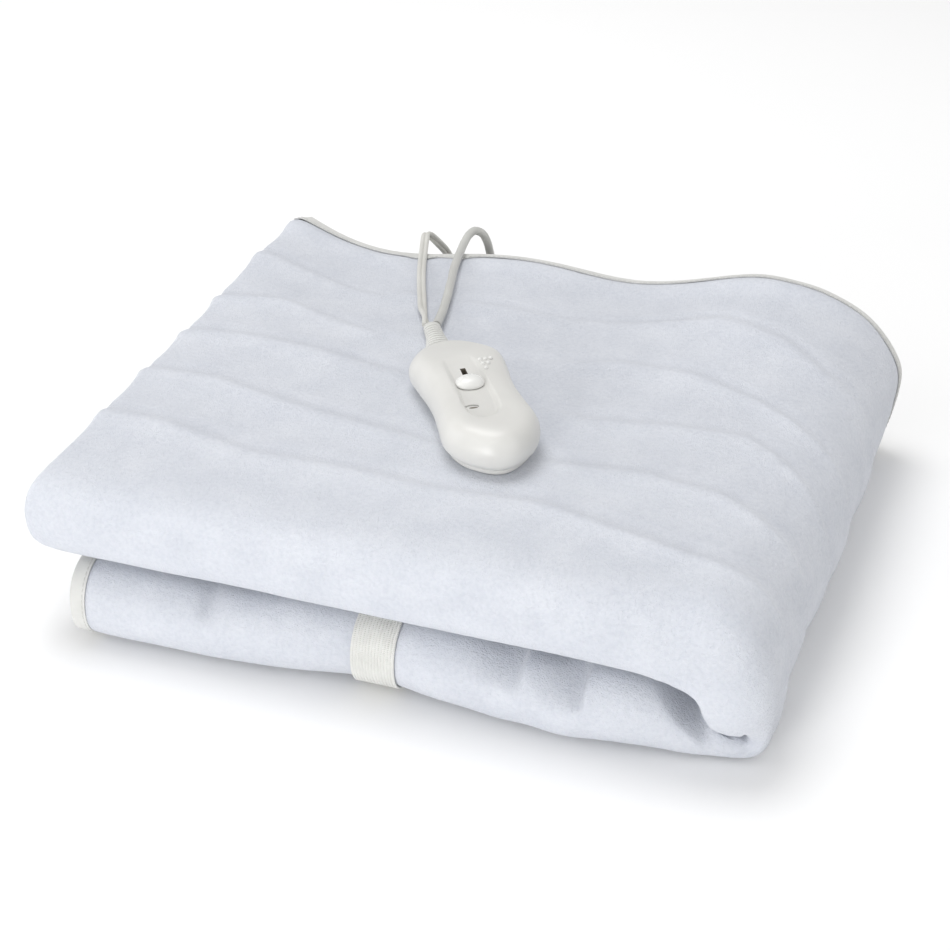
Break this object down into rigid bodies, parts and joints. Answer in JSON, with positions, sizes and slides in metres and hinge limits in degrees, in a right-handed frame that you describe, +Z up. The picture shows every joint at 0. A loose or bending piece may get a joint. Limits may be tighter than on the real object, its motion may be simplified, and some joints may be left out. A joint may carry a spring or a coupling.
{
  "type": "massage table warmer",
  "caption": "Thin fleece heating pad for a massage table, bound at its edges and folded into a stack, with an elastic strap and a slider hand control lying on top.",
  "frame": {"origin": "on the resting surface, under the middle of the folded pad with its tapes, strap and hand control, leaving out the cords, their coils and the plug", "axes": "+Z up, +X along the stack's long side from the pad's bound ends to its right fold, +Y from the front folds to the back, where the cords go"},
  "size_m": [0.4639, 0.5016, 0.1342],
  "materials": {
    "fleece": "cool white brushed fleece",
    "binding": "off-white woven tape",
    "elastic": "off-white ribbed elastic",
    "housing": "white satin",
    "window": "smoky, unlit",
    "soft_plastic": "white, soft",
    "cord": "grey-white flexible sheath",
    "blade": "plain"
  },
  "bodies": {
    "pad": {"pad": "fleece", "tape_long_outer": "binding", "tape_long_inner": "binding", "tape_end_outer": "binding", "tape_end_inner": "binding", "strap": "elastic", "housing_top": "housing", "housing_base": "housing", "led_window": "window", "boot": "soft_plastic", "mains_lead": "cord", "mains_coil": "cord", "mains_tie": "soft_plastic", "mains_tail": "cord", "mains_plug": "soft_plastic", "plug_blade_left": "blade", "plug_blade_right": "blade", "pad_lead": "cord", "pad_lead_coil": "cord", "pad_lead_tie": "soft_plastic", "pad_lead_tail": "cord"},
    "slider": {"slider_knob": "housing"}
  },
  "joints": [
    {"name": "heat_slider", "type": "slide", "parent": "pad", "child": "slider", "axis": [-0.5526, 0.8317, 0.0548], "range_m": [0, 0.012]}
  ]
}
